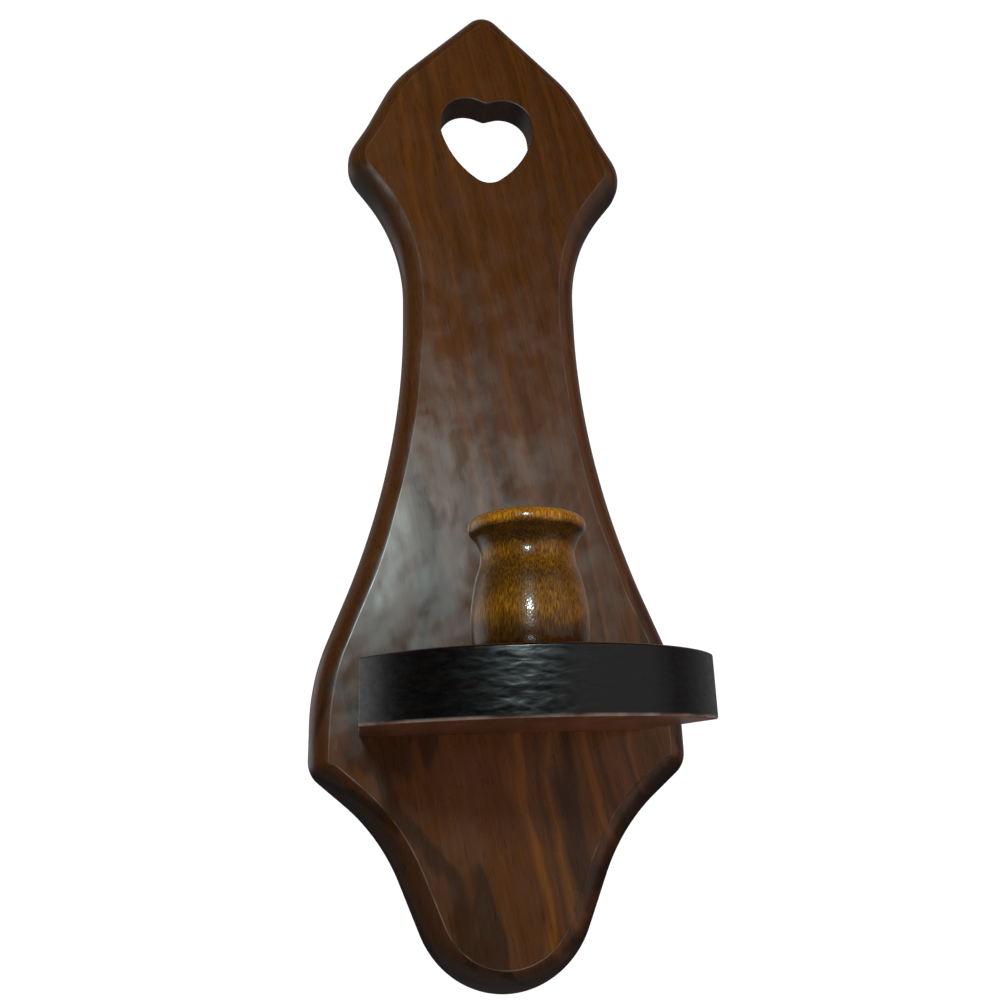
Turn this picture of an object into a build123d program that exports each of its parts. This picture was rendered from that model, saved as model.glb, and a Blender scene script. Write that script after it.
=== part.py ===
from build123d import *
import os

# Wooden candle wall sconce, in millimetres.
# +Z is up, the wall is the plane y = 0 and the object stands out from it towards -Y.
# The origin is where the wall nail carries the hanger: on the wall plane, on the centre line.

os.makedirs("parts", exist_ok=True)

# Backboard: half inch board. Its outline is straight runs between corners that are rounded by
# tangent arcs, and each corner has a half width, a height and a radius. Its front edge is rounded
# by a three eighths inch router bit, and then the face is sanded, which leaves a low crisp edge
# between the two. A corner that points outwards needs a larger radius than the bit has.
board_thickness = 12.7
route_radius = 9.5
face_sanding = 0.15
tip_height = 115.5
tip_radius = 9.9
brow_half_width = 41.6
brow_height = 72.8
brow_radius = 56.0
dip_half_width = 52.8
dip_height = 47.7
dip_radius = 60.0
ear_half_width = 63.5
ear_height = 28.0
ear_radius = 17.0
neck_half_width = 36.2
neck_top_height = -8.3
neck_top_radius = 80.0

# The lower half of the outline goes with the shelf
shelf_drop = 212.0
neck_low_above_shelf = 105.1
neck_low_radius = 320.0
hip_half_width = 69.6
hip_top_above_shelf = 20.2
hip_top_radius = 80.0
hip_low_below_shelf = 12.5
hip_low_radius = 9.9
undercut_half_width = 43.8
undercut_below_shelf = 34.0
undercut_radius = 70.0
foot_below_shelf = 137.2
foot_radius = 32.6

# Heart cut-out, drawn by rounded corners like the board
heart_point_height = 17.0
heart_point_radius = 8.4
heart_flank_half_width = 14.1
heart_flank_height = 27.6
heart_flank_radius = 39.5
heart_shoulder_half_width = 20.65
heart_shoulder_height = 44.1
heart_shoulder_radius = 16.2
heart_lobe_half_width = 18.5
heart_lobe_height = 65.9
heart_lobe_radius = 11.9
heart_cleft_height = 59.1
heart_cleft_radius = 2.5
heart_edge_radius = 0.8

# Shelf: three quarter inch board with straight sides and a bowed front
shelf_thickness = 19.0
shelf_half_width = 51.8
shelf_depth = 104.3
shelf_front_radius = 60.0
shelf_corner_radius = 1.5
shelf_edge_radius = 0.8

# Turned candle cup, with a socket for a seven eighths inch candle
cup_from_board = 59.0
cup_height = 44.5
cup_foot_radius = 15.8
cup_belly_radius = 18.5
cup_belly_height = 12.0
cup_neck_radius = 14.95
cup_neck_height = 32.5
cup_lip_radius = 18.7
cup_lip_height = 41.6
cup_rim_width = 4.2
socket_radius = 11.1
socket_depth = 25.4
socket_mouth_radius = 0.8

# Flat head wood screws, two through the board into the shelf and one through the cup
screw_clearance = 0.1
screw_head_sink = 0.4
screw_slot_width = 1.0
screw_slot_depth = 1.2
screw_thread_pitch = 2.5
screw_thread_depth = 0.6
screw_thread_flank = 0.25
screw_thread_root = 1.25
screw_point = 5.0
shelf_screw_radius = 2.1
shelf_screw_head_radius = 4.2
shelf_screw_shank = 15.0
shelf_screw_bite = 25.0
shelf_screw_spacing = 52.0
cup_screw_radius = 1.75
cup_screw_head_radius = 3.6
cup_screw_shank = 15.0
cup_screw_bite = 12.5

# Sawtooth hanger of bent sheet steel in a shallow pocket, so that the board lies flat
hanger_length = 46.0
hanger_tab = 6.0
hanger_ramp = 2.0
hanger_height = 10.0
hanger_sheet = 0.8
hanger_standoff = 2.8
hanger_wall_gap = 0.4
hanger_end_radius = 2.0
tooth_pitch = 2.8
tooth_depth = 1.4
pocket_margin = 2.0
pocket_below_nail = 12.0
pocket_corner_radius = 5.0

# Round wire nails that hold the hanger
brad_radius = 0.6
brad_clearance = 0.1
brad_length = 6.5
brad_point = 1.2
brad_head_radius = 1.4
brad_head_height = 0.6

# Places worked out from the sizes above
board_front = -board_thickness
shelf_underside = -shelf_drop
shelf_top = shelf_underside + shelf_thickness
shelf_middle = shelf_underside + shelf_thickness / 2
shelf_bow = shelf_front_radius - (shelf_front_radius**2 - shelf_half_width**2) ** 0.5
shelf_corner_y = board_front - shelf_depth + shelf_bow
cup_y = board_front - cup_from_board
cup_floor = cup_height - socket_depth
cup_rim_radius = socket_radius + cup_rim_width
hanger_flat = hanger_length - 2 * (hanger_tab + hanger_ramp)
tooth_count = 2 * int((hanger_flat / tooth_pitch - 1) / 2) + 1
hanger_bottom = -tooth_depth
hanger_top = hanger_bottom + hanger_height
pocket_top = hanger_top + pocket_margin
pocket_depth = hanger_wall_gap + hanger_sheet + hanger_standoff
brad_x = (hanger_length - hanger_tab) / 2
brad_z = (hanger_bottom + hanger_top) / 2
brad_y = -pocket_depth + hanger_sheet
shelf_screw_length = board_thickness - screw_head_sink + shelf_screw_bite
cup_screw_length = cup_floor - screw_head_sink + cup_screw_bite


def rounded_outline(corners):
    """Closed outline from its right hand corners, given in order from one end of the centre
    line to the other as half width, height and radius, and mirrored on the left."""
    corners = corners + [(-x, z, radius) for x, z, radius in reversed(corners) if x > 0]
    points = [(x, z) for x, z, radius in corners]
    radii = [radius for x, z, radius in corners]
    FilletPolyline(*points, radius=radii, close=True)


board_corners = [
    (0, tip_height, tip_radius),
    (brow_half_width, brow_height, brow_radius),
    (dip_half_width, dip_height, dip_radius),
    (ear_half_width, ear_height, ear_radius),
    (neck_half_width, neck_top_height, neck_top_radius),
    (neck_half_width, shelf_underside + neck_low_above_shelf, neck_low_radius),
    (hip_half_width, shelf_underside + hip_top_above_shelf, hip_top_radius),
    (hip_half_width, shelf_underside - hip_low_below_shelf, hip_low_radius),
    (undercut_half_width, shelf_underside - undercut_below_shelf, undercut_radius),
    (0, shelf_underside - foot_below_shelf, foot_radius),
]
heart_corners = [
    (0, heart_point_height, heart_point_radius),
    (heart_flank_half_width, heart_flank_height, heart_flank_radius),
    (heart_shoulder_half_width, heart_shoulder_height, heart_shoulder_radius),
    (heart_lobe_half_width, heart_lobe_height, heart_lobe_radius),
    (0, heart_cleft_height, heart_cleft_radius),
]


def cup_outline():
    """Half section of the candle cup, from the middle of its foot to the floor of its socket."""
    foot = (cup_foot_radius, 0)
    belly = (cup_belly_radius, cup_belly_height)
    neck = (cup_neck_radius, cup_neck_height)
    lip = (cup_lip_radius, cup_lip_height)
    rim = (cup_rim_radius, cup_height)
    upright = (0, 1)

    def between(low, high, out, up):
        """A point at these shares of the way outwards and upwards between two others."""
        return (low[0] + out * (high[0] - low[0]), low[1] + up * (high[1] - low[1]))

    Line((0, 0), foot)
    Spline(foot, between(foot, belly, 0.67, 0.25), belly, tangents=[(1, 1), upright])
    Spline(
        belly,
        between(belly, neck, 0.23, 0.39),
        between(belly, neck, 0.62, 0.71),
        neck,
        tangents=[upright, upright],
    )
    Spline(
        neck,
        between(neck, lip, 0.20, 0.36),
        between(neck, lip, 0.60, 0.66),
        lip,
        tangents=[upright, upright],
    )
    Spline(lip, rim, tangents=[upright, (-1, 0)])
    Polyline(rim, (socket_radius, cup_height), (socket_radius, cup_floor), (0, cup_floor), (0, 0))


def wood_screw(length, radius, head_radius, shank):
    """A slotted flat head screw that points down from its head at z = 0, its thread as rings."""
    core = radius - screw_thread_depth
    profile = [(0, 0), (head_radius, 0), (radius, radius - head_radius), (radius, -shank)]
    depth = shank
    while depth + screw_thread_pitch < length - screw_point:
        profile += [
            (core, -depth - screw_thread_flank),
            (core, -depth - screw_thread_flank - screw_thread_root),
            (radius, -depth - screw_thread_pitch),
        ]
        depth += screw_thread_pitch
    profile += [(core, -depth - screw_thread_flank), (core, screw_point - length), (0, -length)]
    with BuildPart() as screw:
        with BuildSketch(Plane.XZ):
            with BuildLine():
                Polyline(*profile, close=True)
            make_face()
        revolve(axis=Axis.Z)
        with Locations((0, 0, -screw_slot_depth / 2)):
            Box(3 * head_radius, screw_slot_width, screw_slot_depth, mode=Mode.SUBTRACT)
    return screw.part


def screw_hole(length, radius, head_radius):
    """The countersunk hole for a wood screw, with room all round it and above its sunk head."""
    wide = radius + screw_clearance
    mouth = head_radius + screw_clearance
    with BuildPart() as hole:
        with BuildSketch(Plane.XZ):
            with BuildLine():
                Polyline(
                    (0, screw_head_sink), (mouth, screw_head_sink), (mouth, 0), (wide, wide - mouth),
                    (wide, -length - screw_clearance), (0, -length - screw_clearance), close=True,
                )
            make_face()
        revolve(axis=Axis.Z)
    return hole.part


# The screws and their holes share these places
shelf_screw_places = {
    "left": Location((-shelf_screw_spacing / 2, -screw_head_sink, shelf_middle), (-90, 0, 0)),
    "right": Location((shelf_screw_spacing / 2, -screw_head_sink, shelf_middle), (-90, 0, 0)),
}
cup_screw_place = Location((0, cup_y, shelf_top + cup_floor - screw_head_sink))
shelf_screw = wood_screw(shelf_screw_length, shelf_screw_radius, shelf_screw_head_radius, shelf_screw_shank)
shelf_screw_hole = screw_hole(shelf_screw_length, shelf_screw_radius, shelf_screw_head_radius)
cup_screw = wood_screw(cup_screw_length, cup_screw_radius, cup_screw_head_radius, cup_screw_shank)
cup_screw_hole = screw_hole(cup_screw_length, cup_screw_radius, cup_screw_head_radius)
brad_places = {
    "left": Location((-brad_x, brad_y, brad_z), (-90, 0, 0)),
    "right": Location((brad_x, brad_y, brad_z), (-90, 0, 0)),
}

# A nail points down from the underside of its head at z = 0
with BuildPart() as brad:
    with BuildSketch(Plane.XZ):
        with BuildLine():
            Polyline(
                (0, brad_head_height), (brad_head_radius, brad_head_height), (brad_head_radius, 0),
                (brad_radius, 0), (brad_radius, brad_point - brad_length), (0, -brad_length), close=True,
            )
        make_face()
    revolve(axis=Axis.Z)

brad_hole = Cylinder(
    brad_radius + brad_clearance, brad_length + brad_clearance,
    align=(Align.CENTER, Align.CENTER, Align.MAX),
)

# Backboard
with BuildPart() as backboard:
    with BuildSketch(Plane.XZ):
        with BuildLine():
            rounded_outline(board_corners)
        make_face()
    extrude(amount=board_thickness + face_sanding)
    fillet(backboard.faces().sort_by(Axis.Y)[0].edges(), radius=route_radius)
    split(bisect_by=Plane.XZ.offset(board_thickness), keep=Keep.BOTTOM)
    with BuildSketch(Plane.XZ):
        with BuildLine():
            rounded_outline(heart_corners)
        make_face()
    extrude(amount=board_thickness, mode=Mode.SUBTRACT)
    heart_edges = backboard.faces().sort_by(Axis.Y)[0].inner_wires()[0].edges()
    fillet(heart_edges, radius=heart_edge_radius)
    with BuildSketch(Plane.XZ):
        with Locations((0, (pocket_top - pocket_below_nail) / 2)):
            RectangleRounded(
                hanger_length + 2 * pocket_margin, pocket_top + pocket_below_nail, pocket_corner_radius
            )
    extrude(amount=pocket_depth, mode=Mode.SUBTRACT)
    for place in shelf_screw_places.values():
        add(shelf_screw_hole.moved(place), mode=Mode.SUBTRACT)
    for place in brad_places.values():
        add(brad_hole.moved(place), mode=Mode.SUBTRACT)

# Shelf, with its back end on the front of the board
with BuildPart() as shelf:
    with BuildSketch(Plane.XY.offset(shelf_underside)):
        with BuildLine():
            front = RadiusArc(
                (shelf_half_width, shelf_corner_y), (-shelf_half_width, shelf_corner_y), shelf_front_radius
            )
            Polyline(
                front @ 1, (-shelf_half_width, board_front), (shelf_half_width, board_front), front @ 0
            )
        make_face()
    extrude(amount=shelf_thickness)
    corners = shelf.edges().filter_by(Axis.Z).sort_by(Axis.Y)[:2]
    fillet(corners, radius=shelf_corner_radius)
    level_edges = shelf.faces().filter_by(Axis.Z).edges()
    free_edges = [edge for edge in level_edges if edge.center().Y < board_front - shelf_corner_radius]
    fillet(free_edges, radius=shelf_edge_radius)
    for place in shelf_screw_places.values():
        add(shelf_screw_hole.moved(place), mode=Mode.SUBTRACT)
    add(cup_screw_hole.moved(cup_screw_place), mode=Mode.SUBTRACT)

# Candle cup, turned about its own upright axis
with BuildPart() as candle_cup:
    with BuildSketch(Plane.XZ):
        with BuildLine():
            cup_outline()
        make_face()
    revolve(axis=Axis.Z)
    socket_mouth = candle_cup.faces().sort_by(Axis.Z)[-1].inner_wires()[0].edges()
    fillet(socket_mouth, radius=socket_mouth_radius)
    with Locations((0, 0, cup_floor - screw_head_sink)):
        add(cup_screw_hole, mode=Mode.SUBTRACT)

# Hanger: a bent strip with a row of notches along its lower edge and a nail hole in each end
with BuildPart() as sawtooth_hanger:
    with BuildSketch(Plane.XY.offset(hanger_bottom)):
        with BuildLine():
            high = -hanger_wall_gap
            low = high - hanger_standoff
            half_flat = hanger_flat / 2
            bend = half_flat + hanger_ramp
            end = hanger_length / 2
            left = [(-end, low), (-bend, low), (-half_flat, high)]
            face = left + [(-x, y) for x, y in reversed(left)]
            back = [(x, y - hanger_sheet) for x, y in reversed(face)]
            Polyline(*face, *back, close=True)
        make_face()
    extrude(amount=hanger_height)
    ends = sawtooth_hanger.edges().filter_by(Axis.Y).group_by(Axis.X)
    fillet(ends[0] + ends[-1], radius=hanger_end_radius)
    with BuildSketch(Plane.XZ):
        with GridLocations(tooth_pitch, 0, tooth_count, 1):
            Polygon((0, 0), (-tooth_pitch / 2, -tooth_depth), (tooth_pitch / 2, -tooth_depth), align=None)
    extrude(amount=-brad_y, mode=Mode.SUBTRACT)
    for place in brad_places.values():
        add(brad_hole.moved(place), mode=Mode.SUBTRACT)

solids = {
    "backboard": backboard.part,
    "shelf": shelf.part,
    "candle_cup": candle_cup.part.moved(Location((0, cup_y, shelf_top))),
    "shelf_screw_left": shelf_screw.moved(shelf_screw_places["left"]),
    "shelf_screw_right": shelf_screw.moved(shelf_screw_places["right"]),
    "cup_screw": cup_screw.moved(cup_screw_place),
    "sawtooth_hanger": sawtooth_hanger.part,
    "hanger_brad_left": brad.part.moved(brad_places["left"]),
    "hanger_brad_right": brad.part.moved(brad_places["right"]),
}
for node, solid in solids.items():
    export_step(solid, f"parts/{node}.step")
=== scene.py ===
# %% [markdown]
# # A wooden candle wall sconce
#
# The sconce is a stained walnut board with a heart cut through it, a shelf with a bowed front, and
# a small turned cup for a candle. The measured model is loaded first, as a fixed frame in metres:
# +Z is up, the wall is the plane y = 0, and the sconce stands out from it towards -Y. Everything
# that this lesson adds, such as the camera, the lights and the finishes, goes round that frame.

# %% Load the measured model
import math

import bmesh
import bpy
from mathutils import Matrix, Vector, noise


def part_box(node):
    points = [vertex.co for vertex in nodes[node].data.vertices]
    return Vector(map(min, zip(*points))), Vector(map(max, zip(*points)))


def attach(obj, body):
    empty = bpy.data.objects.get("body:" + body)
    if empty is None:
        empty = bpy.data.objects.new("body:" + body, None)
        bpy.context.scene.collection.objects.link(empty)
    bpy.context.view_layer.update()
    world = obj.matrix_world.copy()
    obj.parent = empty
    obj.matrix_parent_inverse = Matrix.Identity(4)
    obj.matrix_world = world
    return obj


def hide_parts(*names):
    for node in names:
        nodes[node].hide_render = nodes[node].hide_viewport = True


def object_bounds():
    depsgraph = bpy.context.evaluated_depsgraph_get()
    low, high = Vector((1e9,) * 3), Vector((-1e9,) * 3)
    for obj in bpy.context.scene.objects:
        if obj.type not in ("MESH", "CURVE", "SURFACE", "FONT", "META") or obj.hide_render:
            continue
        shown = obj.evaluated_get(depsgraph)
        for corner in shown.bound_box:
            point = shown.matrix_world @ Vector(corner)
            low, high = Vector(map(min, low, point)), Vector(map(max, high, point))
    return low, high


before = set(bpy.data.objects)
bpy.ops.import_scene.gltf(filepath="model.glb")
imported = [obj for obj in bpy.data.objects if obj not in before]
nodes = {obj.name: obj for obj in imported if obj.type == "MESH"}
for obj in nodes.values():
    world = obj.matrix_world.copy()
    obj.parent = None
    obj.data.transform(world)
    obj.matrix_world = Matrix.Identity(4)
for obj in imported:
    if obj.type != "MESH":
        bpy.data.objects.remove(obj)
cad_box = [list(corner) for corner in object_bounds()]
MM = 0.001
print("nodes:", sorted(nodes))
print("box of the measured model:", cad_box)

# %% [markdown]
# ## The camera
#
# The photograph was taken from close by, below the shelf and a little to the left, looking up.
# A camera that close makes the shelf look large and the tip of the board look small, so its place
# matters more than its lens. Three turns describe where it looks: to the right, up, and a roll.

# %% Place the camera
CAMERA_PLACE = Vector((-51.3, -346.1, -223.5)) * MM
TURN_RIGHT = 0.1555
TURN_UP = 0.2859
ROLL = -0.0288
SENSOR_WIDTH = 36.0
FOCAL_SHARE = 0.9071    # focal length as a share of the picture's width


def camera_axes(turn_right, turn_up, roll):
    """Right, up and backward directions of a camera that first looks along +Y."""
    right = Vector((math.cos(turn_right), -math.sin(turn_right), 0))
    ahead = Vector((
        math.sin(turn_right) * math.cos(turn_up),
        math.cos(turn_right) * math.cos(turn_up),
        math.sin(turn_up),
    ))
    up = right.cross(ahead)
    rolled_right = math.cos(roll) * right + math.sin(roll) * up
    rolled_up = math.cos(roll) * up - math.sin(roll) * right
    return rolled_right, rolled_up, -ahead


lens = bpy.data.cameras.new("camera")
lens.sensor_width = SENSOR_WIDTH
lens.lens = SENSOR_WIDTH * FOCAL_SHARE
lens.clip_start = 0.01
camera = bpy.data.objects.new("camera", lens)
bpy.context.scene.collection.objects.link(camera)
axes = camera_axes(TURN_RIGHT, TURN_UP, ROLL)
camera.matrix_world = Matrix.Translation(CAMERA_PLACE) @ Matrix(axes).transposed().to_4x4()
bpy.context.scene.camera = camera
print(f"lens {lens.lens:.1f} mm, camera at {tuple(round(v, 3) for v in CAMERA_PLACE)}")

# %% [markdown]
# ## Helpers for colours and nodes
#
# Colours are written as sRGB hex values, the way a paint program shows them. Shaders work in linear
# light, so one function turns a hex value into linear numbers. Another adds one node to a tree,
# with its settings and its links, and every material below is built with it. Settings that are
# used again and again get a name of their own.

# %% Colour helpers
def linear(hex_value):
    """sRGB hex such as '7a4a2b' as linear red, green, blue and alpha."""
    channels = [int(hex_value[i:i + 2], 16) / 255 for i in (0, 2, 4)]
    return [c / 12.92 if c <= 0.04045 else ((c + 0.055) / 1.055) ** 2.4 for c in channels] + [1.0]


def fill_stops(colour_ramp, stops):
    """Puts stops on a colour ramp, each a place and a hex value or a plain number."""
    points = colour_ramp.elements
    while len(points) < len(stops):
        points.new(1.0)
    for point, (place, value) in zip(points, stops):
        point.position = place
        point.color = linear(value) if isinstance(value, str) else [value, value, value, 1.0]


print("black, middle grey and white in linear light:", linear("000000")[0],
      round(linear("808080")[0], 3), linear("ffffff")[0])

# %% Node helpers
MIXED = {"data_type": "RGBA"}
MULTIPLIED = {"data_type": "RGBA", "blend_type": "MULTIPLY"}
SMOOTHLY = {"interpolation_type": "SMOOTHSTEP"}


def add(tree, kind, settings=None, **inputs):
    """Adds a node. settings are its properties, or the stops of its colour ramp; inputs are values
    or sockets to link. An input is named by its socket, with spaces as underscores, or by its
    number as i0, i1."""
    node = tree.nodes.new(kind)
    for name, value in (settings or {}).items():
        if name == "stops":
            fill_stops(node.color_ramp, value)
        else:
            setattr(node, name, value)
    for name, value in inputs.items():
        if name[0] == "i" and name[1:].isdigit():
            socket = node.inputs[int(name[1:])]
        else:
            socket = node.inputs[name.replace("_", " ")]
        if isinstance(value, bpy.types.NodeSocket):
            tree.links.new(value, socket)
        else:
            socket.default_value = value
    return node


def fresh_material(name):
    """An empty node material and its tree."""
    material = bpy.data.materials.new(name)
    material.use_nodes = True
    material.node_tree.nodes.clear()
    return material, material.node_tree


print("named settings:", MIXED, MULTIPLIED, SMOOTHLY)

# %% [markdown]
# ## The floor
#
# A pale floor lies well below the sconce and sends some soft light up to it. It could be a plane
# with four corners, but a disc keeps its edge equally far away from every side.

# %% Make the floor
FLOOR_Z = -1.0
FLOOR_RADIUS = 2.5
FLOOR_CORNERS = 64
FLOOR_GLOW = 0.5

floor_mesh = bpy.data.meshes.new("floor")
turns = [2 * math.pi * step / FLOOR_CORNERS for step in range(FLOOR_CORNERS)]
rim = [(FLOOR_RADIUS * math.cos(a), FLOOR_RADIUS * math.sin(a), FLOOR_Z) for a in turns]
floor_mesh.from_pydata(rim, [], [range(FLOOR_CORNERS)])
floor = bpy.data.objects.new("floor", floor_mesh)
bpy.context.scene.collection.objects.link(floor)
floor_paint, tree = fresh_material("pale_floor_paint")
shader = add(
    tree, "ShaderNodeBsdfPrincipled", None, Base_Color=linear("efece6"), Roughness=0.8,
    Emission_Color=linear("efece6"), Emission_Strength=FLOOR_GLOW,
)
add(tree, "ShaderNodeOutputMaterial", None, Surface=shader.outputs[0])
floor_mesh.materials.append(floor_paint)
floor.visible_glossy = False
print("floor at height", FLOOR_Z, "with radius", FLOOR_RADIUS)

# %% [markdown]
# ## The room
#
# The camera sees a plain white background. A room that is white everywhere would lay a grey veil
# over the dark wood, which the photograph doesn't have, so the room is made of three answers to one
# question: what kind of ray is asking? The camera gets white. Soft light that bounces off the wood
# meets a room that is brighter behind the sconce. What the varnish mirrors is nearly black in
# front, dim behind, and has three paler places: a wall beside the sconce on the left, which puts
# the sheen on the board, a lit wall in front on the right, which puts a dull sheen on the right
# half of the shelf's front, and the floor.

# %% What the varnish mirrors
MIRRORED_FRONT = 0.02
MIRRORED_BACK = 0.2
PALE_PLACES = [     # direction, how near to it the glow starts and is full, and its strength
    ((0.0, 0.0, -1.0), 0.65, 0.95, 0.3),            # floor
    ((-0.84, 0.54, 0.05), 0.88, 0.99, 0.75),        # pale wall on the left
    ((0.70, -0.70, 0.087), 0.75, 0.93, 0.42),       # lit wall in front on the right
]

room = bpy.data.worlds.new("room")
room.use_nodes = True
room.cycles.sampling_method = "NONE"
tree = room.node_tree
tree.nodes.clear()
direction = add(tree, "ShaderNodeTexCoord").outputs["Generated"]
towards = add(tree, "ShaderNodeSeparateXYZ", None, Vector=direction).outputs
behind = add(
    tree, "ShaderNodeMapRange", SMOOTHLY, Value=towards["Y"], From_Min=-0.3, From_Max=0.5,
).outputs[0]
above = add(
    tree, "ShaderNodeMapRange", SMOOTHLY, Value=towards["Z"],
    From_Min=-0.35, From_Max=0.0, To_Max=MIRRORED_BACK,
).outputs[0]
mirrored = add(
    tree, "ShaderNodeMath", {"operation": "MULTIPLY_ADD"}, i0=behind, i1=above, i2=MIRRORED_FRONT,
).outputs[0]
for pale_place, starts, full, glow in PALE_PLACES:
    nearness = add(
        tree, "ShaderNodeVectorMath", {"operation": "DOT_PRODUCT"}, i0=direction, i1=pale_place,
    ).outputs["Value"]
    glowing = add(
        tree, "ShaderNodeMapRange", SMOOTHLY, Value=nearness,
        From_Min=starts, From_Max=full, To_Max=glow,
    ).outputs[0]
    mirrored = add(tree, "ShaderNodeMath", {"operation": "ADD"}, i0=mirrored, i1=glowing).outputs[0]
print("pale places in the mirrored room:", len(PALE_PLACES))

# %% One room for each kind of ray
BACKGROUND = 1.1
SOFT_FRONT = 0.17
SOFT_BACK = 0.75

soft_room = add(
    tree, "ShaderNodeMapRange", SMOOTHLY, Value=towards["Y"],
    From_Min=0.0, From_Max=0.6, To_Min=SOFT_FRONT, To_Max=SOFT_BACK,
).outputs[0]
ray = add(tree, "ShaderNodeLightPath").outputs
unseen = add(
    tree, "ShaderNodeMix", {"data_type": "FLOAT"},
    i0=ray["Is Diffuse Ray"], i2=mirrored, i3=soft_room,
).outputs[0]
strength = add(
    tree, "ShaderNodeMix", {"data_type": "FLOAT"},
    i0=ray["Is Camera Ray"], i2=unseen, i3=BACKGROUND,
).outputs[0]
sky = add(tree, "ShaderNodeBackground", None, Color=linear("ffffff"), Strength=strength)
add(tree, "ShaderNodeOutputWorld", None, Surface=sky.outputs[0])
bpy.context.scene.world = room
bpy.context.scene.view_settings.view_transform = "Standard"
print("nodes in the room:", len(tree.nodes))

# %% [markdown]
# ## The lights
#
# The small highlights on the cup stand straight above each other, on the side towards the camera,
# and the shelf throws a soft shadow on the board below it: both come from one small bright lamp,
# a little to the left and above. A large weak light fills in from the right. It is kept out of the
# reflections, because the varnish shows no second highlight. A third light, above and behind,
# brightens the back, for the views from there.

# %% Lamp, fill and back light
LIGHT_AIM = Vector((0, -80, -160)) * MM


def soft_light(name, left_degrees, up_degrees, distance, size, irradiance, hex_value):
    """A square light that falls on the cup with a given strength, in watts per square metre."""
    left = math.radians(left_degrees)
    up = math.radians(up_degrees)
    towards_light = Vector((
        -math.sin(left) * math.cos(up), -math.cos(left) * math.cos(up), math.sin(up),
    ))
    lamp = bpy.data.lights.new(name, "AREA")
    lamp.shape = "SQUARE"
    lamp.size = size
    lamp.energy = irradiance * math.pi * distance ** 2
    lamp.color = linear(hex_value)[:3]
    light = bpy.data.objects.new(name, lamp)
    light.location = LIGHT_AIM + distance * towards_light
    light.rotation_euler = towards_light.to_track_quat("Z", "Y").to_euler()
    bpy.context.scene.collection.objects.link(light)
    print(name, "at", [round(v, 2) for v in light.location], "power", round(lamp.energy, 1), "W")
    return light


soft_light("lamp", 10, 16.5, 2.0, 0.22, 1.5, "e0f9fa")
fill = soft_light("fill", -50, 0, 2.0, 1.5, 0.95, "ffe6c4")
fill.visible_glossy = False
back = soft_light("back", 180, 60, 2.0, 1.0, 1.6, "ffffff")
back.visible_camera = False
back.visible_glossy = False

# %% [markdown]
# ## Stained walnut
#
# The board and the shelf are walnut, stained dark and finished with a thin semi-gloss varnish. One
# finish can serve both, so what differs is written down first: how each was cut from its tree, its
# colours, its painted light and shade, and how its varnish lies. The board's grain is upright, and
# at the upper right its colour is painted darker and less blue, a painted shade where the sheen
# fades. The shelf's grain runs from the wall to the front. Its front is end grain, which drank so
# much stain that it is nearly black, and its underside is painted darker as painted shade.

# %% What differs between the board and the shelf
BOARD_WOOD = {
    "tree_axis": (-80 * MM, 72 * MM),   # where the axis of the tree crosses z = 0
    "lean": (0.02, -0.2),               # tilt of that axis about X and Y, in radians
    "ring": 4.0 * MM,                   # usual width of a ring
    "dark": "351d0b",
    "middle": "532e10",
    "warm": "6c3d10",
    # painted light and shade: darker at the foot, paler half way down
    "painted_shading_by_height": [(0.0, 0.85), (0.22, 1.0), (0.5, 1.15), (0.72, 1.08), (1.0, 1.08)],     # by height
    # painted shade: darker and less blue at the upper right, where the sheen fades
    "upper_right_painted_shade": "e0d49a",             # tint that grows towards the upper right
    # brightness left by stain and painted shade where a face looks down (0), out (0.5) or up (1)
    "stain_and_painted_shade": [(0.0, 0.3), (0.2, 0.16), (0.36, 0.5), (0.5, 1.0), (0.7, 1.1), (1.0, 1.1)],
    "side_lift": 1.0,                   # how much lighter the left and right sides are
    # a pale lower edge is partly wear and partly a painted highlight
    "worn_highlit_rim": -1.0,                   # height of a lower edge worn pale; this has none
    "gloss": (0.20, 0.32, 0.6),         # roughness: clear varnish, cloudy varnish, end grain
    "ripple": (15 * MM, 22 * MM, 0.2, 0.42 * MM),   # width, height, slant in radians, depth
    "bow": 2.0 * MM,                    # how far the foot came forward in drying
}
SHELF_WOOD = {
    "tree_axis": (30 * MM, -60 * MM),
    "lean": (1.57, 0.05),
    "ring": 5.0 * MM,
    "dark": "452317",
    "middle": "5a2e1d",
    "warm": "6b3a22",
    "painted_shading_by_height": [(0.0, 1.0), (1.0, 1.0)],
    "upper_right_painted_shade": "ffffff",
    # end grain front nearly black from stain; the darker underside is painted shade
    "stain_and_painted_shade": [(0.02, 0.72), (0.3, 0.9), (0.45, 0.02), (0.55, 0.02), (0.8, 0.1), (0.98, 1.0)],
    "side_lift": 5.0,
    # the shelf's lower front edge, worn pale and given a painted highlight
    "worn_highlit_rim": -212 * MM,
    "gloss": (0.23, 0.31, 0.3),
    "ripple": (6.0 * MM, 2.2 * MM, 0.45, 0.13 * MM),
    "bow": 0.0,
}
print("width of a ring in mm:", BOARD_WOOD["ring"] / MM, SHELF_WOOD["ring"] / MM)

# %% [markdown]
# ### Rings
#
# Wood colour follows the tree's rings, so the pattern is solid: every point gets its distance from
# the axis of the tree, which lies behind the board and leans a little. Where a board is cut flat,
# the rings make long streaks on its face, and lines along its rounded edge. A flat picture of wood
# would not meet itself at that edge. A slow noise makes the rings wander, and a second one gives
# each ring its own darkness. The figure shows most at the foot, and fades higher up.

# %% The figure of the rings
WANDER_SPACING = 28 * MM
WANDER_DEPTH = 13 * MM
WANDER_SQUEEZE = 0.32       # noise is squeezed along the grain, so that its shapes come out long
TRUNK_SQUEEZE = 0.01        # the rings hardly change along the trunk
FIGURE_CONTRAST = 0.9


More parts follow.
